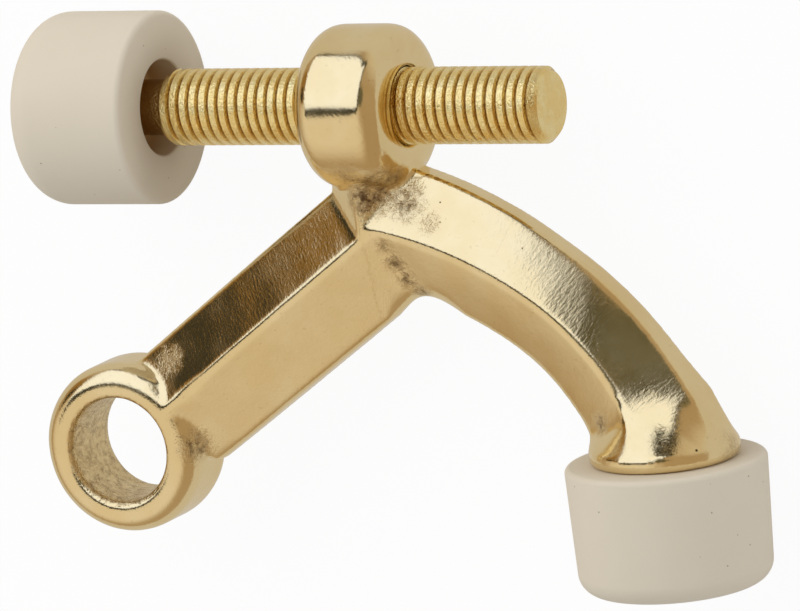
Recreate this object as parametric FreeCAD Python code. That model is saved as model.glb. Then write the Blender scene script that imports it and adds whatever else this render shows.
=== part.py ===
import FreeCAD, Part
import math
import os

# Hinge pin door stop, in millimetres.
# The origin is the middle of the pin bore. +Z runs along the pin, +X along the adjusting screw
# from its rubber tip to its free end, and the fixed rubber tip points to -Y.

# Pin ring
pin_bore_diameter = 8.75
ring_wall = 2.75
ring_height = 6.9
ring_edge_radius = 1.7
bore_edge_radius = 0.5

# Arms: both have one section, a flat hexagon with a rounded crest on its front and its back
arm_half_depth = 3.45
arm_edge_half_height = 1.0
arm_crest_radius = 0.45

# Straight arm, from the ring to the junction under the boss
straight_arm_length = 30.5
straight_arm_angle = 35.75
straight_arm_lead = 0.9
straight_upper_half_width = 4.9
straight_lower_half_width_at_ring = 5.85
straight_lower_half_width_at_junction = 6.3

# Curved arm: three tangent arcs of its centre line, by radius and by heading below the X axis
curve_start_heading = 10.0
long_arc_radius = 37.0
long_arc_end_heading = 33.5
short_arc_radius = 24.0
short_arc_end_heading = 62.0
foot_arc_radius = 12.0
foot_arc_end_heading = 70.0
curve_rise_over_junction = 0.87
curve_outer_half_width_at_junction = 5.4
curve_outer_half_width = 4.5
curve_inner_half_width = 5.15
flare_outer_half_width = 5.4
flare_inner_half_width = 4.95
flare_half_depth = 4.1
flare_edge_half_height = 1.6

# Foot
foot_diameter = 12.25
foot_rim_height = 1.2
foot_edge_radius = 0.4
foot_centre_shift = 1.2
foot_below_arc_end = 3.78

# Boss for the screw
boss_diameter = 13.4
boss_length = 8.0
boss_edge_radius = 2.1
boss_rise = 10.35
neck_half_width = 3.6
neck_crest_radius = 0.7
thread_entry_chamfer = 0.35

# Adjusting screw
screw_diameter = 6.3
screw_length = 34.7
screw_end_chamfer = 0.4
tip_to_boss = 14.85
thread_start_gap = 0.85
thread_play = 0.05
screw_neck_diameter = 4.6
screw_head_diameter = 6.6
screw_head_length = 2.0
screw_head_edge = 0.5

# Rubber tips
tip_diameter = 15.875
tip_rear_edge = 0.5
adjustable_tip_length = 11.1
adjustable_tip_front_radius = 2.7
fixed_tip_length = 10.55
fixed_tip_front_radius = 1.8
fixed_tip_rim_flare = 0.3
tip_lip_thickness = 1.8
recess_diameter = 7.8
recess_depth = 2.6
rubber_play = 0.05

# Stud under the foot, which holds the fixed tip
stud_neck_diameter = 5.0
stud_head_diameter = 7.4
stud_head_length = 2.2
stud_head_edge = 0.5

# Places that follow from the sizes
ring_radius = pin_bore_diameter / 2 + ring_wall
arm_direction = FreeCAD.Vector(math.cos(math.radians(straight_arm_angle)),
                               math.sin(math.radians(straight_arm_angle)), 0)
junction = arm_direction * straight_arm_length
screw_axis_y = junction.y + boss_rise
boss_left_x = junction.x - boss_length / 2
tip_mouth_x = boss_left_x - tip_to_boss
X_AXIS = FreeCAD.Vector(1, 0, 0)
Y_AXIS = FreeCAD.Vector(0, 1, 0)
Z_AXIS = FreeCAD.Vector(0, 0, 1)


def crest_corner(half_width, half_depth, edge_half, crest_radius):
    """Point where the facet that starts at the narrow edge runs into the rounded crest."""
    arc_height = half_depth - crest_radius
    reach = math.hypot(half_width, arc_height - edge_half)
    slope = math.atan2(arc_height - edge_half, half_width) + math.asin(crest_radius / reach)
    facet = math.sqrt(reach ** 2 - crest_radius ** 2)
    return half_width - facet * math.cos(slope), edge_half + facet * math.sin(slope)


def hexagon_section(centre, across, upper_width, lower_width, half_depth, edge_half, crest_radius):
    """Closed wire of the arms' section. Its upper side lies along across, and its depth along Z."""
    upper_side, upper_height = crest_corner(upper_width, half_depth, edge_half, crest_radius)
    lower_side, lower_height = crest_corner(lower_width, half_depth, edge_half, crest_radius)

    def place(u, z):
        return centre + across * u + Z_AXIS * z

    corners = [(upper_width, -edge_half), (upper_width, edge_half), (upper_side, upper_height),
               (-lower_side, lower_height), (-lower_width, edge_half), (-lower_width, -edge_half),
               (-lower_side, -lower_height), (upper_side, -upper_height)]
    crests = {2: half_depth, 6: -half_depth}
    edges = []
    for index, corner in enumerate(corners):
        start = place(*corner)
        end = place(*corners[(index + 1) % len(corners)])
        if index in crests:
            edges.append(Part.Arc(start, place(0, crests[index]), end).toShape())
        else:
            edges.append(Part.LineSegment(start, end).toShape())
    return Part.Wire(edges)


def circle_section(centre, radius, edge_half, crest_half):
    """Circle in the XZ plane, cut into eight arcs that answer the eight edges of the arms' section."""
    side = math.asin(edge_half / radius)
    crest = math.acos(crest_half / radius)
    angles = [-side, side, crest, math.pi - crest, math.pi - side, math.pi + side, math.pi + crest,
              2 * math.pi - crest]

    def place(angle):
        return centre + X_AXIS * (radius * math.cos(angle)) + Z_AXIS * (radius * math.sin(angle))

    edges = []
    for index, angle in enumerate(angles):
        following = angles[(index + 1) % len(angles)]
        if following < angle:
            following += 2 * math.pi
        edges.append(Part.Arc(place(angle), place((angle + following) / 2), place(following)).toShape())
    return Part.Wire(edges)


def turned(profile, base, axis):
    """Solid of a profile of (distance along the axis, radius) points, turned about the axis."""
    side = Y_AXIS if abs(axis.x) > abs(axis.y) else X_AXIS
    points = [base + axis * along + side * radius for along, radius in profile]
    wire = Part.makePolygon(points + [points[0]])
    return Part.Face(wire).revolve(base, axis, 360)


def arc_step(start, radius, heading_from, heading_to):
    """Point reached from start along an arc that turns down from one heading to the next."""
    first = math.radians(heading_from)
    last = math.radians(heading_to)
    return start + FreeCAD.Vector(radius * (math.sin(last) - math.sin(first)),
                                  -radius * (math.cos(first) - math.cos(last)), 0)


curve_start = junction + Y_AXIS * curve_rise_over_junction
long_arc_end = arc_step(curve_start, long_arc_radius, curve_start_heading, long_arc_end_heading)
short_arc_end = arc_step(long_arc_end, short_arc_radius, long_arc_end_heading, short_arc_end_heading)
foot_arc_end = arc_step(short_arc_end, foot_arc_radius, short_arc_end_heading, foot_arc_end_heading)
foot_centre = foot_arc_end + X_AXIS * foot_centre_shift - Y_AXIS * foot_below_arc_end


def pin_ring():
    ring = Part.makeCylinder(ring_radius, ring_height, FreeCAD.Vector(0, 0, -ring_height / 2))
    return ring.makeFillet(ring_edge_radius, [edge for edge in ring.Edges if len(edge.Vertexes) == 1])


def straight_arm():
    """Arm from inside the ring's wall to the junction, where its lower side is wider."""
    across = FreeCAD.Vector(-arm_direction.y, arm_direction.x, 0)
    ends = [(ring_radius - ring_edge_radius, straight_lower_half_width_at_ring),
            (straight_arm_length + straight_arm_lead, straight_lower_half_width_at_junction)]
    sections = [hexagon_section(arm_direction * along, across, straight_upper_half_width, lower_width,
                                arm_half_depth, arm_edge_half_height, arm_crest_radius)
                for along, lower_width in ends]
    return Part.makeLoft(sections, True, True)


def curved_arm():
    """Arm through sections across its centre line, with a flare from the last one to the foot's circle."""
    sections = []
    arcs = [(curve_start, long_arc_radius, curve_start_heading, long_arc_end_heading, 4),
            (long_arc_end, short_arc_radius, long_arc_end_heading, short_arc_end_heading, 3),
            (short_arc_end, foot_arc_radius, short_arc_end_heading, foot_arc_end_heading, 1)]
    for start, radius, heading_from, heading_to, steps in arcs:
        for step in range(steps):
            heading = heading_from + (heading_to - heading_from) * step / steps
            sections.append(arm_station(arc_step(start, radius, heading_from, heading), heading))
    sections.append(arm_station(foot_arc_end, foot_arc_end_heading))
    flare = Part.makeLoft([sections[-1], foot_rim_section()], True, True)
    return Part.makeLoft(sections, True, False).fuse(flare)


def arm_station(centre, heading):
    """Section of the curved arm at a heading: narrowest at the end of the long arc, deepest at the foot."""
    angle = math.radians(heading)
    across = FreeCAD.Vector(math.sin(angle), math.cos(angle), 0)
    share = (heading - long_arc_end_heading) / (foot_arc_end_heading - long_arc_end_heading)
    flare = max(0.0, share) ** 3
    root = max(0.0, (long_arc_end_heading - heading) / (long_arc_end_heading - curve_start_heading))
    return hexagon_section(centre, across,
                           curve_outer_half_width
                           + (curve_outer_half_width_at_junction - curve_outer_half_width) * root
                           + (flare_outer_half_width - curve_outer_half_width) * flare,
                           curve_inner_half_width + (flare_inner_half_width - curve_inner_half_width) * flare,
                           arm_half_depth + (flare_half_depth - arm_half_depth) * flare ** 2,
                           arm_edge_half_height + (flare_edge_half_height - arm_edge_half_height) * flare,
                           arm_crest_radius * (1 + flare))


def foot_rim_section():
    """Circle at the top of the foot's rim, where the curved arm ends."""
    return circle_section(foot_centre + Y_AXIS * foot_rim_height, foot_diameter / 2, flare_edge_half_height,
                          2 * arm_crest_radius)


def foot():
    """Round foot under the flare, with the headed stud that the rubber tip is pressed over."""
    rim = Part.Face(foot_rim_section()).extrude(Y_AXIS * -foot_rim_height)
    rim = rim.makeFillet(foot_edge_radius, [edge for edge in rim.Edges
                                            if abs(edge.BoundBox.YMax - foot_centre.y) < foot_edge_radius])
    stud = turned([(0, 0), (0, stud_neck_diameter / 2), (tip_lip_thickness, stud_neck_diameter / 2),
                   (tip_lip_thickness, stud_head_diameter / 2),
                   (tip_lip_thickness + stud_head_length - stud_head_edge, stud_head_diameter / 2),
                   (tip_lip_thickness + stud_head_length, stud_head_diameter / 2 - stud_head_edge),
                   (tip_lip_thickness + stud_head_length, 0)], foot_centre, Y_AXIS * -1)
    return rim.fuse(stud)


def boss():
    base = FreeCAD.Vector(boss_left_x, screw_axis_y, 0)
    barrel = Part.makeCylinder(boss_diameter / 2, boss_length, base, X_AXIS)
    return barrel.makeFillet(boss_edge_radius, [edge for edge in barrel.Edges if len(edge.Vertexes) == 1])


def neck():
    """Short upright between the junction of the arms and the boss."""
    section = hexagon_section(junction, X_AXIS, neck_half_width, neck_half_width, arm_half_depth,
                              arm_edge_half_height, neck_crest_radius)
    return Part.Face(section).extrude(Y_AXIS * (boss_rise - screw_diameter / 2))


def screw_hole():
    """Hole through the boss, with a small chamfer at both mouths."""
    radius = screw_diameter / 2 + thread_play
    wide = radius + thread_entry_chamfer
    beyond = boss_edge_radius
    return turned([(-beyond, 0), (-beyond, wide), (0, wide), (thread_entry_chamfer, radius),
                   (boss_length - thread_entry_chamfer, radius), (boss_length, wide),
                   (boss_length + beyond, wide), (boss_length + beyond, 0)],
                  FreeCAD.Vector(boss_left_x, screw_axis_y, 0), X_AXIS)


def body_casting():
    body = pin_ring().fuse([straight_arm(), curved_arm(), foot(), neck(), boss()])
    bore = Part.makeCylinder(pin_bore_diameter / 2, ring_height * 2, FreeCAD.Vector(0, 0, -ring_height))
    body = body.cut([bore, screw_hole()])
    mouths = [edge for edge in body.Edges
              if isinstance(edge.Curve, Part.Circle)
              and abs(edge.Curve.Radius - pin_bore_diameter / 2) < 1e-6
              and abs(abs(edge.Curve.Center.z) - ring_height / 2) < 1e-6]
    return body.makeFillet(bore_edge_radius, mouths)


def adjusting_screw():
    """Rod with chamfered ends, and a neck and a head turned on the end that holds the rubber tip."""
    radius = screw_diameter / 2
    head_start = -(thread_start_gap + recess_depth + tip_lip_thickness + screw_head_length)
    head_end = head_start + screw_head_length
    return turned([(head_start, 0),
                   (head_start, screw_head_diameter / 2 - screw_head_edge),
                   (head_start + screw_head_edge, screw_head_diameter / 2),
                   (head_end, screw_head_diameter / 2),
                   (head_end, screw_neck_diameter / 2),
                   (0, screw_neck_diameter / 2),
                   (0, radius - screw_end_chamfer),
                   (screw_end_chamfer, radius),
                   (screw_length - screw_end_chamfer, radius),
                   (screw_length, radius - screw_end_chamfer),
                   (screw_length, 0)],
                  FreeCAD.Vector(tip_mouth_x + thread_start_gap, screw_axis_y, 0), X_AXIS)


def rubber_tip(mouth, outward, rim, length, front_radius, lip_start, neck_radius, head_radius, head_length):
    """Rubber tip along outward from its mouth. The points of rim run from the neck's hole to the barrel."""
    hole = neck_radius + rubber_play
    hollow = head_radius + rubber_play
    lip_end = lip_start + tip_lip_thickness - rubber_play
    head_end = lip_start + tip_lip_thickness + head_length + rubber_play
    profile = [(lip_start, hole)] + rim + [(length, tip_diameter / 2), (length, 0), (head_end, 0),
                                           (head_end, hollow), (lip_end, hollow), (lip_end, hole)]
    tip = turned(profile, mouth, outward)
    front = [edge for edge in tip.Edges if isinstance(edge.Curve, Part.Circle)
             and abs((edge.Curve.Center - mouth).Length - length) < 1e-6]
    return tip.makeFillet(front_radius, front)


def adjustable_bumper():
    mouth = FreeCAD.Vector(tip_mouth_x, screw_axis_y, 0)
    rim = [(recess_depth, recess_diameter / 2), (0, recess_diameter / 2),
           (0, tip_diameter / 2 - tip_rear_edge), (tip_rear_edge, tip_diameter / 2)]
    return rubber_tip(mouth, X_AXIS * -1, rim, adjustable_tip_length, adjustable_tip_front_radius,
                      recess_depth, screw_neck_diameter / 2, screw_head_diameter / 2, screw_head_length)


def fixed_bumper():
    """The fixed tip tapers from its rim to its front."""
    rim_radius = tip_diameter / 2 + fixed_tip_rim_flare
    rim = [(0, rim_radius - tip_rear_edge), (tip_rear_edge, rim_radius)]
    return rubber_tip(foot_centre, Y_AXIS * -1, rim, fixed_tip_length, fixed_tip_front_radius,
                      0, stud_neck_diameter / 2, stud_head_diameter / 2, stud_head_length)


os.makedirs("parts", exist_ok=True)
for name, make in (("body_casting", body_casting), ("adjusting_screw", adjusting_screw),
                   ("adjustable_bumper", adjustable_bumper), ("fixed_bumper", fixed_bumper)):
    shape = make()
    shape.exportStep("parts/" + name + ".step")
    box = shape.BoundBox
    print(name, "valid", shape.isValid(), "solids", len(shape.Solids), "volume", round(shape.Volume, 1),
          "X", round(box.XMin, 2), round(box.XMax, 2), "Y", round(box.YMin, 2), round(box.YMax, 2),
          "Z", round(box.ZMin, 2), round(box.ZMax, 2))
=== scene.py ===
# %% [markdown]
# # A brass hinge pin door stop
# The real thing is a small polished brass casting that hangs on the pin of a door's hinge.
# A threaded rod runs through its boss, and two cream rubber tips meet the door and the trim.
# This lesson dresses the measured model: it keeps every size and place, and adds the cast
# surface, the real screw thread and the moulded rubber.

# %% Load the measured model
import math

import bmesh
import bpy
from mathutils import Matrix, Vector, noise


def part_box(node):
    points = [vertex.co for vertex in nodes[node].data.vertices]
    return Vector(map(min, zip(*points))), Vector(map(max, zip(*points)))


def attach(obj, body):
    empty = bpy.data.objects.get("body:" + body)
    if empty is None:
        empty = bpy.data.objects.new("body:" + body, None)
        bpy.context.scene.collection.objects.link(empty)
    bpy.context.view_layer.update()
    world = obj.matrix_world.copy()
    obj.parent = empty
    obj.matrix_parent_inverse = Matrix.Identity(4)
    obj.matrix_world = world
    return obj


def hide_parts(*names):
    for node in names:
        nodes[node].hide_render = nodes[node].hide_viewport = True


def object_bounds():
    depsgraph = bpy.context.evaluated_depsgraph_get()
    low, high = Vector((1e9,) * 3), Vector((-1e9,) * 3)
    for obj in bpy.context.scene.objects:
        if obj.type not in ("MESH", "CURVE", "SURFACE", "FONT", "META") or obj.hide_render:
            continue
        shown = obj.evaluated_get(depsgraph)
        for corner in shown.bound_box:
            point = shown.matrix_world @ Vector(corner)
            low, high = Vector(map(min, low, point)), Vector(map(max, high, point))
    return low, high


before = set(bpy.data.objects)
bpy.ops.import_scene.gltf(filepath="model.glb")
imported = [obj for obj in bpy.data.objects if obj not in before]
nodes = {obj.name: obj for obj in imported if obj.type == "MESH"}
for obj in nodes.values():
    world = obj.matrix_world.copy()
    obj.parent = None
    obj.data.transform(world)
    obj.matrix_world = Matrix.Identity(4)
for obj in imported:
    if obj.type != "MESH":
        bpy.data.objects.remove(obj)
cad_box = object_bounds()
MM = 0.001
for name in sorted(nodes):
    low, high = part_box(name)
    print(name, "size in mm", [round((high[i] - low[i]) / MM, 2) for i in range(3)])


def put_in_scene(name, data):
    """Object that holds the data, at the origin and unturned."""
    obj = bpy.data.objects.new(name, data)
    bpy.context.scene.collection.objects.link(obj)
    return obj


# %% [markdown]
# ## The camera
# The photograph was taken from far away with a long lens, so lines stay almost parallel.
# A camera is set by where it looks, by two angles round that point and by a roll. Here the
# picture's up is the object's +Y, so the roll is large. An orthographic camera would be the
# other way, but a long lens at a long distance keeps the slight narrowing of the real one.

# %% Place the camera
look_at = Vector((25.84, 11.59, 0.0)) * MM
azimuth = math.radians(112.9)
elevation = math.radians(59.8)
roll = math.radians(-115.85)
pixels_per_mm = 12.3
picture_width = 800
lens = 465.0
sensor = 36.0
nearest_seen = 0.05
farthest_seen = 20.0

back = Vector((math.sin(azimuth) * math.cos(elevation),
               -math.cos(azimuth) * math.cos(elevation),
               math.sin(elevation)))
level_right = Vector((math.cos(azimuth), math.sin(azimuth), 0.0))
level_up = back.cross(level_right)
right = level_right * math.cos(roll) + level_up * math.sin(roll)
up = level_up * math.cos(roll) - level_right * math.sin(roll)
distance = lens / sensor * picture_width / pixels_per_mm * MM

camera_data = bpy.data.cameras.new("camera")
camera_data.lens = lens
camera_data.sensor_width = sensor
camera_data.clip_start = nearest_seen
camera_data.clip_end = farthest_seen
camera = put_in_scene("camera", camera_data)
turn = Matrix((right, up, back)).transposed().to_4x4()
camera.matrix_world = Matrix.Translation(look_at + back * distance) @ turn
bpy.context.scene.camera = camera
print("camera is", round(distance, 3), "m away")

# %% [markdown]
# ## Helpers for node trees
# A material is a tree of small nodes. Each could be added and wired by hand in the editor, but
# the same few steps come back in every finish here, so they are written once: a node with its
# values, a link, a calculation, a smooth ramp and a blend of two colours or two shaders.


# %% Add, link and blend nodes
def add(tree, kind, **values):
    """Adds a node and sets its properties, or its sockets by name."""
    node = tree.nodes.new(kind)
    for key, value in values.items():
        if key in node.inputs:
            node.inputs[key].default_value = value
        else:
            setattr(node, key, value)
    return node


def link(tree, source, target):
    """Wires one node's output to another node's input."""
    tree.links.new(source, target)


def calculate(tree, operation, first, second):
    """Result of an operation on two values, each a number or another node's output."""
    node = add(tree, "ShaderNodeMath", operation=operation)
    for place, value in enumerate((first, second)):
        if isinstance(value, (int, float)):
            node.inputs[place].default_value = value
        else:
            link(tree, value, node.inputs[place])
    return node.outputs[0]


def ramp(tree, value, start, end):
    """Rises smoothly from 0 at start to 1 at end, also where end is the lower of the two."""
    node = add(tree, "ShaderNodeMapRange", interpolation_type="SMOOTHSTEP")
    low, high = sorted((start, end))
    node.inputs["From Min"].default_value = low
    node.inputs["From Max"].default_value = high
    node.inputs["To Min"].default_value = 0.0 if start < end else 1.0
    node.inputs["To Max"].default_value = 1.0 if start < end else 0.0
    link(tree, value, node.inputs["Value"])
    return node.outputs["Result"]


# A mix node has sockets for every kind of data, all called A, B and Result.
colour_a = 6
colour_b = 7
colour_result = 2


def blend(tree, share, below, above):
    """Colour that goes from below to above as the share goes from 0 to 1."""
    node = add(tree, "ShaderNodeMix", data_type="RGBA")
    link(tree, share, node.inputs["Factor"])
    for place, value in ((colour_a, below), (colour_b, above)):
        if isinstance(value, tuple):
            node.inputs[place].default_value = (*value, 1.0)
        else:
            link(tree, value, node.inputs[place])
    return node.outputs[colour_result]


def stain(tree, tone, share, strength, colour):
    """Lays a colour over a tone, as strongly as a share times a strength says."""
    return blend(tree, calculate(tree, "MULTIPLY", share, strength), tone, colour)


def either(tree, share, first, second):
    """Shader that goes from the first to the second as the share goes from 0 to 1."""
    node = add(tree, "ShaderNodeMixShader")
    link(tree, share, node.inputs["Fac"])
    link(tree, first, node.inputs[1])
    link(tree, second, node.inputs[2])
    return node.outputs[0]


def new_material(name):
    """Empty node material, with its tree and the output node."""
    material = bpy.data.materials.new(name)
    material.use_nodes = True
    tree = material.node_tree
    tree.nodes.clear()
    output = tree.nodes.new("ShaderNodeOutputMaterial")
    return material, tree, output


# %% [markdown]
# ## A white floor that still takes a shadow
# The stop lies on a white ground with hardly any shadow. More light would make a pale floor
# white, but it would bleach the brass and rubber too. Instead the floor's own material asks
# what kind of ray has met it. The camera sees it nearly white, light falls on it as on pale
# paint, which keeps the shadow, and the polished metal mirrors it in a warm, duller tone.

# %% Lay the floor
floor_height = min(cad_box[0].z, cad_box[1].z)
floor_half_size = 3.0
floor_mesh = bmesh.new()
bmesh.ops.create_grid(floor_mesh, x_segments=1, y_segments=1, size=floor_half_size)
bmesh.ops.translate(floor_mesh, verts=floor_mesh.verts, vec=(0, 0, floor_height))
floor_data = bpy.data.meshes.new("floor")
floor_mesh.to_mesh(floor_data)
floor_mesh.free()
floor = put_in_scene("floor", floor_data)
print("floor lies", round(-floor_height / MM, 2), "mm under the middle of the casting")

# %% Paint the floor
floor_colour = (0.88, 0.88, 0.87, 1.0)
floor_seen_in_metal = (0.62, 0.57, 0.50, 1.0)
floor_white_share = 0.94
white = (1.0, 1.0, 1.0, 1.0)

floor_paint, tree, output = new_material("floor paint")
path = add(tree, "ShaderNodeLightPath")
plain = add(tree, "ShaderNodeBsdfDiffuse", Color=floor_colour)
bright = add(tree, "ShaderNodeEmission", Color=white, Strength=1.0)
mirrored = add(tree, "ShaderNodeEmission", Color=floor_seen_in_metal, Strength=1.0)
whiteness = calculate(tree, "MULTIPLY", path.outputs["Is Camera Ray"], floor_white_share)
seen = either(tree, whiteness, plain.outputs[0], bright.outputs[0])
seen = either(tree, path.outputs["Is Glossy Ray"], seen, mirrored.outputs[0])
link(tree, seen, output.inputs["Surface"])
floor_data.materials.append(floor_paint)
print("floor paint has", len(tree.nodes), "nodes")

# %% [markdown]
# ## What the metal mirrors
# Polished metal shows what stands round it, so the studio matters as much as the brass. Real
# walls and cloths could be modelled, but nodes in the world are lighter and easy to move: an
# old gold shell, round patches on it that are paler or darker, and one large white softbox to
# the upper left with a dark frame. All their directions are given in the picture's own right,
# up and back, so that they can be read off the reflections in the photograph.


# %% Directions, patches and a window
def in_picture(axis):
    """World direction of an axis that is given in the picture's own right, up and back."""
    x, y, z = Vector(axis).normalized()
    return right * x + up * y + back * z


def share_along(tree, direction, axis):
    """How far a direction points along an axis of the picture."""
    node = add(tree, "ShaderNodeVectorMath", operation="DOT_PRODUCT")
    node.inputs[1].default_value = in_picture(axis)
    link(tree, direction, node.inputs[0])
    return node.outputs["Value"]


def patch(tree, direction, below, centre, half_angle, fade, colour):
    """Round patch of the studio's shell, by its centre in the picture and its angles in degrees."""
    facing = share_along(tree, direction, centre)
    outer = math.cos(math.radians(half_angle + fade))
    inner = math.cos(math.radians(half_angle))
    return blend(tree, ramp(tree, facing, outer, inner), below, colour)


def window(tree, across, along, sides):
    """1 inside a rectangle of the softbox's own plane, 0 outside it."""
    left, right_side, bottom, top = sides
    inside = calculate(tree, "MULTIPLY", ramp(tree, across, left - window_edge, left),
                       ramp(tree, across, right_side + window_edge, right_side))
    inside = calculate(tree, "MULTIPLY", inside, ramp(tree, along, bottom - window_edge, bottom))
    return calculate(tree, "MULTIPLY", inside, ramp(tree, along, top + window_edge, top))


# %% [markdown]
# ## Where the tones of the studio come from
# For a bright or dark spot on the metal, the question is which way it mirrors. That direction
# then gets the tone that the spot has in the photograph. Wide, soft patches come first and
# small dark ones after them, because each is laid over those before it. The dark one beside
# the softbox comes last of all, so that it covers a bit of the softbox too.

# %% Colours and places of the studio
old_gold = (0.44, 0.33, 0.21)
warm_white = (0.78, 0.70, 0.60)
pale_tan = (0.64, 0.56, 0.44)
deep_gold = (0.30, 0.17, 0.05)
dark = (0.045, 0.042, 0.03)
dark_brown = (0.13, 0.12, 0.078)
softbox_white = (1.08, 1.13, 1.30)

# Each patch has its centre, half its angle, the angle of its soft rim and its colour.
shell_patches = (((-0.75, -0.42, 0.45), 17, 40, warm_white),
                 ((0.5, 0.75, 0.1), 15, 36, pale_tan),
                 ((-0.2, 0.18, 0.96), 8, 10, dark_brown),
                 ((-0.04, 0.83, 0.56), 5, 3, dark),
                 ((-0.95, 0.31, 0.04), 14, 8, deep_gold),
                 ((-0.98, 0.17, -0.06), 6.5, 2.0, dark))
patch_by_softbox = ((-0.20, 0.84, 0.50), 4, 2, dark)

# The softbox's axis points to it, and two more axes span its plane.
softbox_axis = (-0.718, 0.429, 0.548)
softbox_across = (0.607, 0.0, 0.795)
softbox_along = (0.341, 0.903, -0.260)
frame_sides = (-0.53, 0.70, -0.80, 0.88)
white_sides = (-0.50, 0.58, -0.54, 0.74)
window_edge = 0.03
front_levels = (0.05, 0.15)
fill_strength = 0.62

# %% [markdown]
# ## One world, three answers
# A world is asked for its light by every ray that leaves the scene. Rays from polished metal
# get the shell with its patches and softbox, rays from the camera get plain white, and all
# others get an even light that lifts the shadows. One image of a studio couldn't do all three.

# %% Lay the patches and the softbox
world = bpy.data.worlds.new("studio")
bpy.context.scene.world = world
world.use_nodes = True
tree = world.node_tree
tree.nodes.clear()
output = tree.nodes.new("ShaderNodeOutputWorld")
direction = add(tree, "ShaderNodeTexCoord").outputs["Generated"]

shell = old_gold
for centre, half_angle, fade, colour in shell_patches:
    shell = patch(tree, direction, shell, centre, half_angle, fade, colour)
facing = share_along(tree, direction, softbox_axis)
across = calculate(tree, "DIVIDE", share_along(tree, direction, softbox_across), facing)
along = calculate(tree, "DIVIDE", share_along(tree, direction, softbox_along), facing)
in_front = ramp(tree, facing, *front_levels)
for sides, colour in ((frame_sides, dark), (white_sides, softbox_white)):
    area = calculate(tree, "MULTIPLY", in_front, window(tree, across, along, sides))
    shell = blend(tree, area, shell, colour)
shell = patch(tree, direction, shell, *patch_by_softbox)
print("studio has", len(shell_patches) + 1, "patches")

# %% Give each ray its answer
mirror_world = add(tree, "ShaderNodeBackground", Strength=1.0)
link(tree, shell, mirror_world.inputs["Color"])
plain_world = add(tree, "ShaderNodeBackground", Color=white, Strength=fill_strength)
white_world = add(tree, "ShaderNodeBackground", Color=white, Strength=1.0)
path = add(tree, "ShaderNodeLightPath")
seen = either(tree, path.outputs["Is Glossy Ray"], plain_world.outputs[0], mirror_world.outputs[0])
seen = either(tree, path.outputs["Is Camera Ray"], seen, white_world.outputs[0])
link(tree, seen, output.inputs["Surface"])
print("world has", len(tree.nodes), "nodes")

# %% [markdown]
# ## Two soft lamps
# The rubber isn't a mirror, so the studio's shell does nothing for it. A key lamp stands about
# where the softbox is, and a fill lamp further off on the right gives about as much light. Both
# are large, because a large lamp makes a soft shadow. The metal doesn't mirror them, because
# it already mirrors the softbox of the world.


# %% Hang the lamps
def soft_lamp(name, towards, distance_mm, side_mm, watts, tint):
    """Square area lamp, placed by its direction in the picture's own right, up and back."""
    data = bpy.data.lights.new(name, "AREA")
    data.shape = "RECTANGLE"
    data.size = side_mm * MM
    data.size_y = side_mm * MM
    data.energy = watts
    data.color = tint
    lamp = put_in_scene(name, data)
    aim = in_picture(towards)
    lamp.location = look_at + aim * distance_mm * MM
    lamp.rotation_mode = "QUATERNION"
    lamp.rotation_quaternion = (-aim).to_track_quat("-Z", "Y")
    lamp.visible_glossy = False
    print(name, "stands", distance_mm, "mm away and gives", watts, "W")


soft_lamp("key lamp", towards=(-0.78, 0.42, 0.46), distance_mm=600, side_mm=620, watts=1.7,
          tint=(1.0, 0.985, 0.95))
soft_lamp("fill lamp", towards=(0.9, 0.3, 0.35), distance_mm=900, side_mm=500, watts=4.0,
          tint=(1.0, 0.98, 0.95))
bpy.context.scene.view_settings.view_transform = "Standard"

# %% [markdown]
# ## Polished brass
# Brass is a metal: its base colour is what it does to white light, and its roughness says how
# blurred the mirror is. A hand-polished casting isn't even. The wheel leaves fine marks across
# the arms, and the skin stays rough and dark in the corners that the wheel can't reach.
# Painted textures would need a flat map of the whole casting, so solid noise is used instead.
# Two attributes of the mesh steer it: where the skin is rough, and which way an arm runs.

# %% Noise, relief and pin holes
noise_roughness = 0.55


def noise_share(tree, vector, scale, detail, low, high):
    """Noise as a share that is 0 below one level and 1 above another."""
    node = add(tree, "ShaderNodeTexNoise", Scale=scale, Detail=detail, Roughness=noise_roughness)
    link(tree, vector, node.inputs["Vector"])
    return ramp(tree, node.outputs["Fac"], low, high)


def raised(tree, height, strength, depth_mm, below=None):
    """Bump of a height share, laid over another bump if one is given."""
    node = add(tree, "ShaderNodeBump", Strength=strength, Distance=depth_mm * MM)
    link(tree, height, node.inputs["Height"])
    if below is not None:
        link(tree, below, node.inputs["Normal"])
    return node.outputs["Normal"]


def dots(tree, place, centres, radius_mm, softness):
    """1 inside small round holes at places on the casting, given in millimetres."""
    outer = radius_mm * (1.0 + softness) * MM
    inner = radius_mm * (1.0 - softness) * MM
    inside = None
    for centre in centres:
        node = add(tree, "ShaderNodeVectorMath", operation="DISTANCE")
        node.inputs[1].default_value = Vector(centre) * MM
        link(tree, place, node.inputs[0])
        hole = ramp(tree, node.outputs["Value"], outer, inner)
        inside = hole if inside is None else calculate(tree, "MAXIMUM", inside, hole)
    return inside


def attribute(tree, name, output="Fac"):
    """Value that the mesh itself keeps at each of its points."""
    return add(tree, "ShaderNodeAttribute", attribute_name=name).outputs[output]


# %% Tones and textures of the casting
polished_brass = (0.86, 0.70, 0.39)
pale_brass = (0.90, 0.76, 0.46)
cast_brown = (0.50, 0.34, 0.16)
grime_brown = (0.28, 0.18, 0.09)
fleck_brown = (0.40, 0.27, 0.12)
pit_brown = (0.16, 0.10, 0.05)
hole_brown = (0.10, 0.07, 0.03)
wheel_stretch = (1.0, 0.14, 0.5)
least_patchy = 0.5
lumps_in_rough = 0.6
pin_holes = ((31.44, 20.53, 1.79), (31.61, 19.03, 2.46), (38.51, 16.76, 1.89), (53.21, 0.6, 3.59))
pin_hole_radius = 0.11
pin_hole_softness = 0.3

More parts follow.
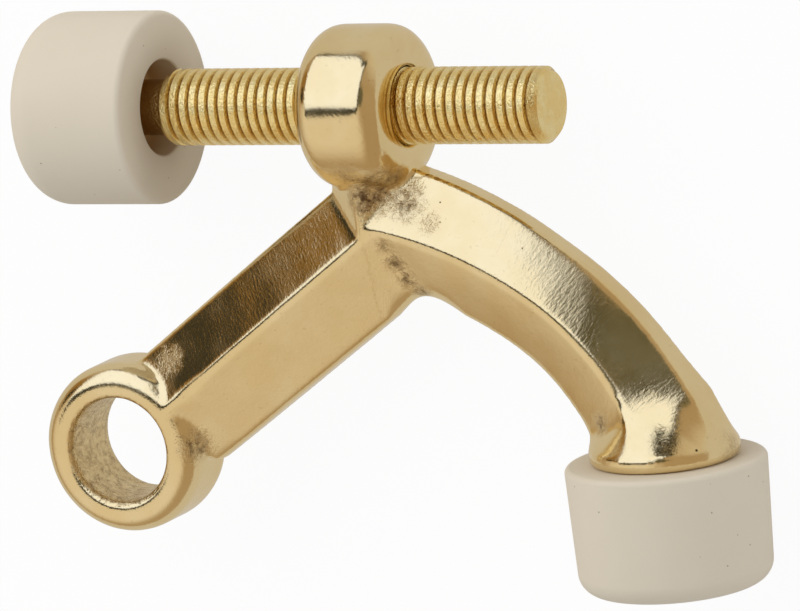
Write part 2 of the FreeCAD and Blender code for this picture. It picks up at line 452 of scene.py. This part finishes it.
# Each noise has its scale per metre, its detail and the levels that turn to 0 and to 1.
wheel_noise = (5200.0, 3.0, 0.3, 0.7)
casting_noises = {"lumps": (1500.0, 6.0, 0.3, 0.7),
                  "cloud": (210.0, 3.0, 0.35, 0.7),
                  "grain": (5200.0, 3.0, 0.36, 0.66),
                  "speckle": (2600.0, 2.0, 0.66, 0.74),
                  "pits": (2300.0, 2.0, 0.53, 0.58)}

# Each stain has the texture that says where it lies, its strength and its tone.
casting_stains = (("grainy", 0.75, cast_brown), ("grime", 0.85, grime_brown),
                  ("speckle", 0.18, fleck_brown), ("pitted", 1.0, pit_brown), ("holes", 1.0, hole_brown))


def casting_textures(tree):
    """Shares, 0 for none and 1 for full, that the tone, gloss and relief are made from."""
    place = add(tree, "ShaderNodeTexCoord").outputs["Object"]
    shares = {name: noise_share(tree, place, *values) for name, values in casting_noises.items()}
    stretch = add(tree, "ShaderNodeMapping")
    stretch.inputs["Scale"].default_value = wheel_stretch
    link(tree, attribute(tree, "unrolled", "Vector"), stretch.inputs["Vector"])
    shares["marks"] = noise_share(tree, stretch.outputs["Vector"], *wheel_noise)
    patchy = calculate(tree, "MULTIPLY", shares["lumps"], lumps_in_rough)
    patchy = calculate(tree, "ADD", patchy, least_patchy)
    shares["rough"] = calculate(tree, "MULTIPLY", attribute(tree, "rough"), patchy)
    shares["grainy"] = calculate(tree, "MULTIPLY", shares["rough"], shares["grain"])
    shares["grime"] = calculate(tree, "MULTIPLY", shares["rough"], shares["rough"])
    shares["pitted"] = calculate(tree, "MULTIPLY", shares["grime"], shares["pits"])
    shares["holes"] = dots(tree, place, pin_holes, pin_hole_radius, pin_hole_softness)
    return shares


def casting_tone(tree, shares):
    """Brass in two close tones, browner where the skin is rough, pitted or holed."""
    tone = blend(tree, shares["cloud"], polished_brass, pale_brass)
    for name, strength, colour in casting_stains:
        tone = stain(tree, tone, shares[name], strength, colour)
    return tone


# %% Gloss and relief of the casting
polish_blur = 0.09
blur_by_texture = (("cloud", 0.07), ("rough", 0.30), ("holes", 0.4))
least_relief = 0.035

# Each relief has its strength and its depth in millimetres.
wheel_relief = (0.45, 0.006)
pitted_relief = (0.7, 0.09)
grain_relief = (0.8, 0.04)


def casting_gloss(tree, shares):
    """Blur of the mirror: nearly polished on the arms, dull in the corners and holes."""
    blur = polish_blur
    for name, strength in blur_by_texture:
        blur = calculate(tree, "ADD", blur, calculate(tree, "MULTIPLY", shares[name], strength))
    return blur


def casting_relief(tree, shares):
    """Wheel marks everywhere, with lumps, pits and grain over them where the skin is rough."""
    lumpy = calculate(tree, "SUBTRACT", shares["lumps"], shares["pits"])
    lumpy = calculate(tree, "MULTIPLY", shares["rough"], lumpy)
    skin = calculate(tree, "ADD", shares["rough"], least_relief)
    skin = calculate(tree, "MULTIPLY", skin, shares["grain"])
    normal = raised(tree, shares["marks"], *wheel_relief)
    normal = raised(tree, lumpy, *pitted_relief, normal)
    return raised(tree, skin, *grain_relief, normal)


# %% Brass of the casting
def brass_of_casting():
    """Polished brass with wheel marks, a rough skin in the corners and small pits."""
    material, tree, output = new_material("casting brass")
    shader = add(tree, "ShaderNodeBsdfPrincipled", Metallic=1.0)
    shares = casting_textures(tree)
    link(tree, casting_tone(tree, shares), shader.inputs["Base Color"])
    link(tree, casting_gloss(tree, shares), shader.inputs["Roughness"])
    link(tree, casting_relief(tree, shares), shader.inputs["Normal"])
    link(tree, shader.outputs[0], output.inputs["Surface"])
    return material


casting_brass = brass_of_casting()
print("casting brass has", len(casting_brass.node_tree.nodes), "nodes")

# %% [markdown]
# ## Plated brass of the screw
# The rod has a bright plate that is yellower than the casting. A rolled thread is never a clean mirror, so
# it gets a fine grain, and its grooves are coloured darker, the more so the deeper they are. A stripe
# pattern would have to be fitted to the pitch, so the mesh itself says how deep in the groove each point
# lies.

# %% Brass of the screw
thread_gold = (0.95, 0.74, 0.31)
thread_pale_gold = (0.98, 0.84, 0.43)
groove_brown = (0.42, 0.26, 0.09)
groove_strength = 0.85
thread_noises = {"cloud": (900.0, 3.0, 0.35, 0.7), "grain": (4200.0, 3.0, 0.35, 0.65)}
thread_blur = 0.07
thread_grain_blur = 0.12
thread_relief = (0.8, 0.03)


def brass_of_screw():
    """Plated brass: deeper in colour than the casting, and a little rough from the rolling."""
    material, tree, output = new_material("thread brass")
    shader = add(tree, "ShaderNodeBsdfPrincipled", Metallic=1.0)
    place = add(tree, "ShaderNodeTexCoord").outputs["Object"]
    cloud = noise_share(tree, place, *thread_noises["cloud"])
    grain = noise_share(tree, place, *thread_noises["grain"])
    tone = blend(tree, cloud, thread_gold, thread_pale_gold)
    # Darker in the grooves, the more so the deeper a point lies.
    tone = stain(tree, tone, attribute(tree, "groove"), groove_strength, groove_brown)
    blur = calculate(tree, "MULTIPLY", grain, thread_grain_blur)
    blur = calculate(tree, "ADD", blur, thread_blur)
    link(tree, tone, shader.inputs["Base Color"])
    link(tree, blur, shader.inputs["Roughness"])
    link(tree, raised(tree, grain, *thread_relief), shader.inputs["Normal"])
    link(tree, shader.outputs[0], output.inputs["Surface"])
    return material


thread_brass = brass_of_screw()
print("thread brass has", len(thread_brass.node_tree.nodes), "nodes")

# %% [markdown]
# ## Cream rubber
# The tips are moulded in a cream rubber that isn't glossy. Its colour drifts a little and a few dark specks
# lie in its skin. In the hollow round the screw a brown is painted in, as painted shade and as a painted
# reflection of the brass beside it. Subsurface scattering would soften the rubber further, but a plain
# surface with a fine bump looks right and renders faster.

# %% Cream rubber
rubber_cream = (0.70, 0.628, 0.505)
rubber_pale = (0.74, 0.66, 0.54)
speck_brown = (0.36, 0.31, 0.24)
# Painted shade and painted reflection of the brass, laid inside the hollow of a tip.
painted_hollow_shade = (0.48, 0.28, 0.10)
rubber_blur = 0.58
rubber_sheen = 0.35
speck_size = 0.045
rubber_relief = (0.25, 0.03)


def cream_rubber():
    """Matte cream rubber with a few specks, and a painted brown shade and brass reflection inside the mouth
    of a tip.
    """
    material, tree, output = new_material("cream rubber")
    shader = add(tree, "ShaderNodeBsdfPrincipled", Roughness=rubber_blur)
    shader.inputs["Specular IOR Level"].default_value = rubber_sheen
    place = add(tree, "ShaderNodeTexCoord").outputs["Object"]
    cloud = add(tree, "ShaderNodeTexNoise", Scale=220.0, Detail=3.0, Roughness=0.5)
    specks = add(tree, "ShaderNodeTexVoronoi", Scale=620.0, feature="F1")
    skin = add(tree, "ShaderNodeTexNoise", Scale=1800.0, Detail=2.0)
    for texture in (cloud, specks, skin):
        link(tree, place, texture.inputs["Vector"])
    on_speck = calculate(tree, "LESS_THAN", specks.outputs["Distance"], speck_size)
    tone = blend(tree, cloud.outputs["Fac"], rubber_cream, rubber_pale)
    tone = blend(tree, on_speck, tone, speck_brown)
    # Painted shade: the hollow goes brown by the shade attribute, standing in for its shadow and the brass
    # it mirrors.
    tone = blend(tree, attribute(tree, "shade"), tone, painted_hollow_shade)
    link(tree, tone, shader.inputs["Base Color"])
    link(tree, raised(tree, skin.outputs["Fac"], *rubber_relief), shader.inputs["Normal"])
    link(tree, shader.outputs[0], output.inputs["Surface"])
    return material


tip_rubber = cream_rubber()
print("cream rubber has", len(tip_rubber.node_tree.nodes), "nodes")

# %% [markdown]
# ## The casting's skin
# A casting has no sharp inside corners: the sand leaves a fillet wherever two faces meet, and
# the polishing wheel rounds what stands out. One way is to bevel every edge by hand. Here a
# copy of the measured solid is rebuilt as one fine even skin and then relaxed, which rounds
# the corners in the way that sand and wheel do and leaves the broad faces where they were.


# %% Rebuild the casting's skin
def finished(obj):
    """Applies the modifiers of an object by baking what they make into its mesh."""
    graph = bpy.context.evaluated_depsgraph_get()
    made = bpy.data.meshes.new_from_object(obj.evaluated_get(graph))
    obj.modifiers.clear()
    old = obj.data
    obj.data = made
    bpy.data.meshes.remove(old)


same_point = 0.0005 * MM
skin_size = 0.22 * MM
relax_steps = 5

# A smoothing step moves each point half way to the middle of its neighbours.
half_way = 0.5

casting_mesh = bmesh.new()
casting_mesh.from_mesh(nodes["body_casting"].data)
bmesh.ops.remove_doubles(casting_mesh, verts=casting_mesh.verts, dist=same_point)
casting_data = bpy.data.meshes.new("casting_skin")
casting_mesh.to_mesh(casting_data)
casting_mesh.free()
casting = put_in_scene("casting_skin", casting_data)
rebuild = casting.modifiers.new("rebuild", "REMESH")
rebuild.mode = "VOXEL"
rebuild.voxel_size = skin_size
rebuild.use_smooth_shade = True
relax = casting.modifiers.new("relax", "CORRECTIVE_SMOOTH")
relax.iterations = relax_steps
relax.smooth_type = "SIMPLE"
relax.use_only_smooth = True
relax.factor = half_way
finished(casting)
print("rebuilt skin has", len(casting.data.vertices), "points")

# %% [markdown]
# ## Softer valleys
# Where the arms meet each other, the neck and the ring, the real casting has larger fillets.
# Smoothing the whole skin would shrink it, so a vertex group says how near each point lies to
# those places, and a smoothing modifier that reads the group rounds only them.

# %% Soften the valleys
# Each soft place has its centre and radius in millimetres, and its share of the smoothing.
soft_places = (((28.7, 12.6, 0.0), 4.2, 1.0),
               ((25.0, 21.8, 2.6), 3.4, 0.1), ((25.0, 21.8, -2.6), 3.4, 0.1),
               ((7.4, 5.2, 3.0), 2.4, 0.1), ((7.4, 5.2, -3.0), 2.4, 0.1),
               ((7.6, 0.0, 0.0), 3.6, 0.12))
valley_steps = 350


def nearness(point, centre, radius):
    """1 at a place, falling smoothly to 0 at its radius."""
    share = max(0.0, 1.0 - (point - Vector(centre) * MM).length / (radius * MM))
    return share * share * (3.0 - 2.0 * share)


def nearest(point, places):
    """Largest share that a point gets from a list of places."""
    return max(nearness(point, centre, radius) * share for centre, radius, share in places)


soft = casting.vertex_groups.new(name="soft")
softened = 0
for vert in casting.data.vertices:
    weight = nearest(vert.co, soft_places)
    if weight > 0.0:
        soft.add([vert.index], weight, "REPLACE")
        softened += 1
valleys = casting.modifiers.new("valleys", "SMOOTH")
valleys.vertex_group = "soft"
valleys.factor = half_way
valleys.iterations = valley_steps
finished(casting)
print("softened", softened, "points")

# %% [markdown]
# ## Faces that aren't quite flat
# Hand polishing leaves no face truly flat, and a mirror shows it at once: its bands of light
# bend and fade along the arms. The straight arm is a quarter of a millimetre fuller in the
# middle of its length, the curved arm's facets are crowned between edge and crest, and a very
# small waviness runs over all of the skin. A bump in the material could bend the reflections
# too, but real points also carry it into the outline. The points and normals are all read
# before any is moved, since each move makes Blender work out every normal again.

# %% Bow, crown and wave the faces
arm_angle = math.radians(35.75)
arm_along = Vector((math.cos(arm_angle), math.sin(arm_angle), 0))
arm_across = Vector((-math.sin(arm_angle), math.cos(arm_angle), 0))
arm_reach = 6.5 * MM
edge_height = 1.0 * MM
crest_height = 3.45 * MM
bow = 0.25 * MM
bow_start = 8.0 * MM
bow_end = 29.0 * MM
crown = 0.11 * MM
crown_start = 27.0 * MM
crown_lead_in = 3.0 * MM
waviness = 0.015 * MM
wave_length = 2.6 * MM


def bow_at(point):
    """How much fuller the straight arm is at a point, most in the middle of its length."""
    along = point.dot(arm_along)
    if not bow_start < along < bow_end or abs(point.dot(arm_across)) >= arm_reach:
        return 0.0
    middle = (along - bow_start) / (bow_end - bow_start) * 2.0 - 1.0
    return bow * (1.0 - middle * middle) * min(1.0, abs(point.z) / edge_height)


def crown_at(point):
    """How much a facet of the curved arm swells, most half way from its edge to the crest."""
    rise = (abs(point.z) - edge_height) / (crest_height - edge_height)
    if point.x <= crown_start or not 0.0 < rise < 1.0:
        return 0.0
    start = min(1.0, (point.x - crown_start) / crown_lead_in)
    return crown * 4.0 * rise * (1.0 - rise) * start


skin_points = [(vert.co.copy(), vert.normal.copy()) for vert in casting.data.vertices]
moved = []
for point, normal in skin_points:
    new_point = point + normal * (noise.noise(point / wave_length) * waviness)
    new_point.z += math.copysign(bow_at(point), point.z)
    new_point.z += math.copysign(crown_at(point), point.z)
    moved.extend(new_point)
casting.data.vertices.foreach_set("co", moved)
fullest = max(bow_at(point) + crown_at(point) for point, normal in skin_points)
print("the arms' faces are up to", round(fullest / MM, 3), "mm fuller")

# %% [markdown]
# ## Where the skin is rough, and which way an arm runs
# The brass needs two values at each point. The first says how rough the skin is: much in the
# corners under the boss, between the arms and by the ring, some in the bore, and a trace on
# the arms. The second is the point's place along, across and up its arm, unrolled where the
# arm is curved, so that the wheel marks turn with it. A UV map would need seams on such a
# shape, and attributes need none.

# %% Mark the skin for its brass
arm_bend = Vector((24.75, 17.82, 0)) * MM
curve_centre = Vector((18.33, -17.75, 0)) * MM
curve_radius = (arm_bend - curve_centre).length
below_boss = 22.5 * MM
bore_radius = 4.375 * MM
bore_margin = 0.25 * MM
bore_rough = 0.5
arm_rough = 0.02

# Each rough place has its centre and radius in millimetres, and its share of roughness.
rough_under_boss = (((24.6, 23.0, 4.6), 2.6, 0.6), ((27.4, 22.9, 4.0), 2.2, 0.8),
                    ((28.0, 22.6, 3.0), 2.0, 0.8), ((25.4, 21.2, 3.3), 2.6, 1.1),
                    ((26.4, 21.2, 2.5), 2.4, 1.0), ((28.6, 20.6, 2.2), 2.6, 0.75),
                    ((30.6, 19.0, 2.6), 1.6, 0.45))
rough_between_arms = (((26.6, 17.2, 3.0), 1.4, 0.6), ((27.1, 15.6, 2.3), 1.6, 0.8),
                      ((27.8, 14.2, 1.7), 1.6, 0.8), ((28.6, 13.0, 1.3), 1.4, 0.7))
rough_by_ring = (((5.0, 7.4, 2.0), 2.2, 0.45), ((6.9, 0.2, 2.4), 2.2, 0.9))
rough_by_foot = (((44.4, 2.5, 2.4), 1.6, 0.7), ((54.4, -0.2, 0.0), 2.6, 0.5))
rough_places = rough_under_boss + rough_between_arms + rough_by_ring + rough_by_foot


def roughness_at(point):
    """Roughness of the skin: the most that the bore, a rough place or an arm gives."""
    in_bore = bore_rough if point.xy.length < bore_radius + bore_margin else 0.0
    on_arms = arm_rough if point.y < below_boss else 0.0
    return max(in_bore, on_arms, nearest(point, rough_places))


def unrolled_at(point):
    """Place along, across and up the arm that a point belongs to."""
    spoke = point - curve_centre
    if point.x > arm_bend.x and point.y < below_boss:
        return math.atan2(spoke.x, spoke.y) * curve_radius, spoke.xy.length, point.z
    return point.dot(arm_along), point.dot(arm_across), point.z


roughness = [roughness_at(point) for point, normal in skin_points]
unrolled = [value for point, normal in skin_points for value in unrolled_at(point)]
rough_values = casting.data.attributes.new("rough", "FLOAT", "POINT")
rough_values.data.foreach_set("value", roughness)
unrolled_values = casting.data.attributes.new("unrolled", "FLOAT_VECTOR", "POINT")
unrolled_values.data.foreach_set("vector", unrolled)
print("rough points:", sum(1 for value in roughness if value > arm_rough), "of", len(roughness))

# %% [markdown]
# ## Handing a piece over
# The body is what makes it move with the joints, so no piece is ever placed by hand at a
# pose.

# %% Hand over the casting
casting.data.polygons.foreach_set("use_smooth", [True] * len(casting.data.polygons))
casting.data.materials.clear()
casting.data.materials.append(casting_brass)
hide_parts("body_casting")
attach(casting, "casting")
print("casting skin has", len(casting.data.polygons), "faces")

# %% [markdown]
# ## The adjusting screw
# A thread is one profile carried round the rod while it climbs by one pitch a turn. A screw
# modifier could do it, but the spin operator does just that when it is given a step along the
# axis, and leaves plain faces to go on with. The profile starts before the rod does and runs
# past its end, and then both ends are cut square.

# %% Spin the thread
screw_low, screw_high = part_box("adjusting_screw")
axis_y = (screw_low.y + screw_high.y) / 2
axis_point = Vector((0, axis_y, 0))
rod_radius = 6.3 / 2 * MM
rod_length = 34.7 * MM
rod_end = screw_high.x
rod_start = rod_end - rod_length
pitch = 25.4 / 28 * MM
thread_depth = 0.34 * MM
crest = 0.56
flank = 0.18
lead_in_turns = 1.5
spare_turns = 3
turns = math.ceil(rod_length / pitch) + spare_turns
steps_a_turn = 56
seam_gap = 0.002 * MM

# Each corner of one turn's profile has its share of the pitch and its depth below the crest.
profile = ((0.0, 0.0), (crest, 0.0), (crest + flank, thread_depth), (1.0 - flank, thread_depth), (1.0, 0.0))
profile_start = rod_start - lead_in_turns * pitch

thread = bmesh.new()
line = []
for share, depth in profile:
    line.append(thread.verts.new((profile_start + share * pitch, axis_y, rod_radius - depth)))
edges = [thread.edges.new(pair) for pair in zip(line, line[1:])]
bmesh.ops.spin(thread, geom=line + edges, cent=axis_point, axis=(1, 0, 0), angle=2 * math.pi * turns,
               dvec=(pitch / steps_a_turn, 0, 0), steps=steps_a_turn * turns, use_merge=False,
               use_normal_flip=False, use_duplicate=False)
bmesh.ops.remove_doubles(thread, verts=thread.verts, dist=seam_gap)
print("thread has", turns, "turns of", round(pitch / MM, 3), "mm before it is cut")

# %% [markdown]
# ## Square ends with a chamfer
# A thread runs out in a chamfer at each end of the rod. A boolean with a cone would cut it, but
# booleans are slow and fragile on so many thin faces. Here two planes cut the ends square,
# each point that stands outside the cone is moved in to it, and the two holes are filled.


# %% Cut and chamfer the ends
def out_from_axis(point):
    """Distance of a point from the screw's axis."""
    return Vector((0, point.y - axis_y, point.z)).length


def set_out(vert, x, radius):
    """Moves a point to a place along the screw's axis and to a distance from it."""
    spoke = Vector((0, vert.co.y - axis_y, vert.co.z)).normalized() * radius
    vert.co = Vector((x, axis_y + spoke.y, spoke.z))


chamfer = 0.45 * MM
on_plane = 0.0002 * MM
for cut, outward in ((rod_start, -1), (rod_end, 1)):
    every = thread.verts[:] + thread.edges[:] + thread.faces[:]
    bmesh.ops.bisect_plane(thread, geom=every, plane_co=(cut, axis_y, 0), plane_no=(outward, 0, 0),
                           clear_outer=True, clear_inner=False, dist=on_plane)
for vert in thread.verts:
    inset = min(vert.co.x - rod_start, rod_end - vert.co.x)
    limit = rod_radius - max(0.0, chamfer - inset)
    if out_from_axis(vert.co) > limit:
        set_out(vert, vert.co.x, limit)
rims = [edge for edge in thread.edges if edge.is_boundary]
caps = bmesh.ops.holes_fill(thread, edges=rims, sides=0)["faces"]
print("thread has", len(thread.faces), "faces and", len(caps), "end caps")

# %% [markdown]
# ## Neck and head
# Under the rubber tip the rod is turned down to a neck and ends in a head that holds the tip.
# Only the neck shows, deep in the mouth of the tip. Two cylinders could be put there, but both
# are drawn out of the thread's own end face, so that the whole screw is one closed piece.

# %% Draw out the neck and head
neck_radius = 2.3 * MM
head_radius = 3.3 * MM
head_chamfer = 0.5 * MM
head_back = screw_low.x + 2.0 * MM
rim_inset = 0.3 * MM
steps_out = ((head_back, neck_radius), (head_back, head_radius),
             (screw_low.x + head_chamfer, head_radius), (screw_low.x, head_radius - head_chamfer))

end_face = min(caps, key=lambda face: face.calc_center_median().x)
bmesh.ops.inset_region(thread, faces=[end_face], thickness=rim_inset, use_even_offset=False)
for vert in end_face.verts:
    set_out(vert, rod_start, neck_radius)
for x, radius in steps_out:
    end_face = bmesh.ops.extrude_discrete_faces(thread, faces=[end_face])["faces"][0]
    for vert in end_face.verts:
        set_out(vert, x, radius)
bmesh.ops.recalc_face_normals(thread, faces=thread.faces)
open_edges = sum(1 for edge in thread.edges if not edge.is_manifold)
print("screw has", len(thread.faces), "faces and", open_edges, "open edges")

# %% [markdown]
# ## Grooves marked for the material
# A point's depth in the thread is the rod's radius less its distance from the axis, and it goes to the
# brass as an attribute that darkens the grooves. The free end's chamfer also lies nearer to the axis, but
# it is no groove, so the points close to that end are not darkened.

# %% Mark the grooves and hand over the screw
undarkened_end = 0.3 * MM
screw_data = bpy.data.meshes.new("threaded_screw")
thread.to_mesh(screw_data)
thread.free()
depths = []
for vert in screw_data.vertices:
    depth = (rod_radius - out_from_axis(vert.co)) / thread_depth
    on_undarkened_end = vert.co.x >= rod_end - undarkened_end
    depths.append(0.0 if on_undarkened_end else min(1.0, max(0.0, depth)))
groove_values = screw_data.attributes.new("groove", "FLOAT", "POINT")
groove_values.data.foreach_set("value", depths)
screw_data.materials.append(thread_brass)
screw = put_in_scene("threaded_screw", screw_data)
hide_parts("adjusting_screw")
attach(screw, "screw")
print("groove points:", sum(1 for depth in depths if depth > 0.5), "of", len(depths))

# %% [markdown]
# ## The rubber tips
# Each tip is round, so half of its section is drawn once and spun about its axis. A cylinder with bevels
# would do for the outside, but one section also gives the hollow mouth and a wider round at the front than
# at the mouth, as the mould leaves them. An attribute says how deep in the hollow each point lies, so that
# a painted brown shade can be laid there, standing in for the hollow's shadow and the brass it mirrors.

# %% Sizes of the tips in millimetres
tip_radius = 7.9375
mouth_edge = 0.5
recess_radius = 3.9
recess_depth = 2.6
recess_lip = 0.2
neck_hole = 2.35
stud_hole = 2.55
screw_tip_round = 2.7
foot_tip_round = 1.8
flat_ring_share = 0.4
front_steps = 14
mouth_steps = 6
steps_round = 96
weld_gap = 0.001
hollow_slack = 0.01
least_shade = 0.35
full_shade_depth = 1.5


# %% Section, hollow and spin of a tip
def arc_points(along, away, radius, first, last, count):
    """Points of a round edge of the section, from one angle to another about its centre."""
    made = []
    for step in range(count + 1):
        angle = math.radians(first + (last - first) * step / count)
        made.append((along + radius * math.cos(angle), away + radius * math.sin(angle)))
    return made


def painted_hollow_shades(data, mouth, outward, length):
    """How much painted shade each point of a tip gets: more with its depth in the hollow, none outside it.
    """
    shades = []
    for vert in data.vertices:
        depth = (vert.co - mouth).dot(outward)
        away = (vert.co - mouth - outward * depth).length
        in_hollow = away < (recess_radius + hollow_slack) * MM and depth < length / 2 * MM
        shades.append(min(1.0, least_shade + depth / (full_shade_depth * MM)) if in_hollow else 0.0)
    return shades


def spun_tip(name, mouth, outward, section):
    """Closed mesh of a section in millimetres, spun about the axis through the tip's mouth."""
    tip = bmesh.new()
    side = Vector((0, 0, 1))
    verts = [tip.verts.new(mouth + outward * (along * MM) + side * (away * MM)) for along, away in section]
    edges = [tip.edges.new(pair) for pair in zip(verts, verts[1:])]
    bmesh.ops.spin(tip, geom=verts + edges, cent=mouth, axis=outward, angle=2 * math.pi,
                   steps=steps_round, use_merge=True, use_duplicate=False)
    bmesh.ops.remove_doubles(tip, verts=tip.verts, dist=weld_gap * MM)
    bmesh.ops.recalc_face_normals(tip, faces=tip.faces)
    data = bpy.data.meshes.new(name)
    tip.to_mesh(data)
    tip.free()
    return data


def rubber_tip(name, mouth, outward, length, front_round, rim, hole_radius):
    """Tip whose rim runs from the hole at its mouth to the barrel, with a rounded front."""
    section = [(rim[0][0], 0.0), (rim[0][0], hole_radius)] + rim
    section += arc_points(length - front_round, tip_radius - front_round, front_round, 90, 0, front_steps)
    section += [(length, tip_radius * flat_ring_share), (length, 0.0)]
    data = spun_tip(name, mouth, outward, section)
    # Painted shade: the deeper a point lies in the hollow, the browner the rubber is painted there.
    shade_values = data.attributes.new("shade", "FLOAT", "POINT")
    shade_values.data.foreach_set("value", painted_hollow_shades(data, mouth, outward, length))
    data.polygons.foreach_set("use_smooth", [True] * len(data.polygons))
    data.materials.append(tip_rubber)
    print(name, "has", len(data.polygons), "faces")
    return put_in_scene(name, data)


# %% [markdown]
# ## The tip on the screw
# Its mouth is open round the neck, and the hollow shows in the picture. It faces along -X and
# slides as the screw travels, so it rides on the body called tip.

# %% Mould the tip of the screw
moving_low, moving_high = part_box("adjustable_bumper")
moving_length = (moving_high.x - moving_low.x) / MM
moving_mouth = Vector((moving_high.x, axis_y, 0))
moving_rim = [(recess_depth, recess_radius), (recess_lip, recess_radius), (0.0, recess_radius + recess_lip)]
moving_rim += arc_points(mouth_edge, tip_radius - mouth_edge, mouth_edge, 180, 90, mouth_steps)
moving_tip = rubber_tip("screw_tip", moving_mouth, Vector((-1, 0, 0)), moving_length, screw_tip_round,
                        moving_rim, neck_hole)
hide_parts("adjustable_bumper")
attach(moving_tip, "tip")

# %% [markdown]
# ## The tip on the foot
# This one sits close under the foot's rim, so its mouth is flat, and its front has a smaller
# round. It faces along -Y and never moves, so it rides on the casting.

# %% Mould the tip of the foot
fixed_low, fixed_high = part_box("fixed_bumper")
fixed_length = (fixed_high.y - fixed_low.y) / MM
fixed_mouth = Vector(((fixed_low.x + fixed_high.x) / 2, fixed_high.y, 0))
rim_radius = (fixed_high.x - fixed_low.x) / 2 / MM
fixed_rim = arc_points(mouth_edge, rim_radius - mouth_edge, mouth_edge, 180, 90, mouth_steps)
fixed_tip = rubber_tip("foot_tip", fixed_mouth, Vector((0, -1, 0)), fixed_length, foot_tip_round,
                       fixed_rim, stud_hole)
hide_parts("fixed_bumper")
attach(fixed_tip, "casting")

# %% [markdown]
# ## The measured model's box
# The box round the measured model is printed in millimetres. A new skin or thread takes the place of the
# plain piece and should never grow past it.

# %% Print the measured model's box
bpy.context.view_layer.update()
print("CAD box", [[round(v / MM, 2) for v in corner] for corner in cad_box])
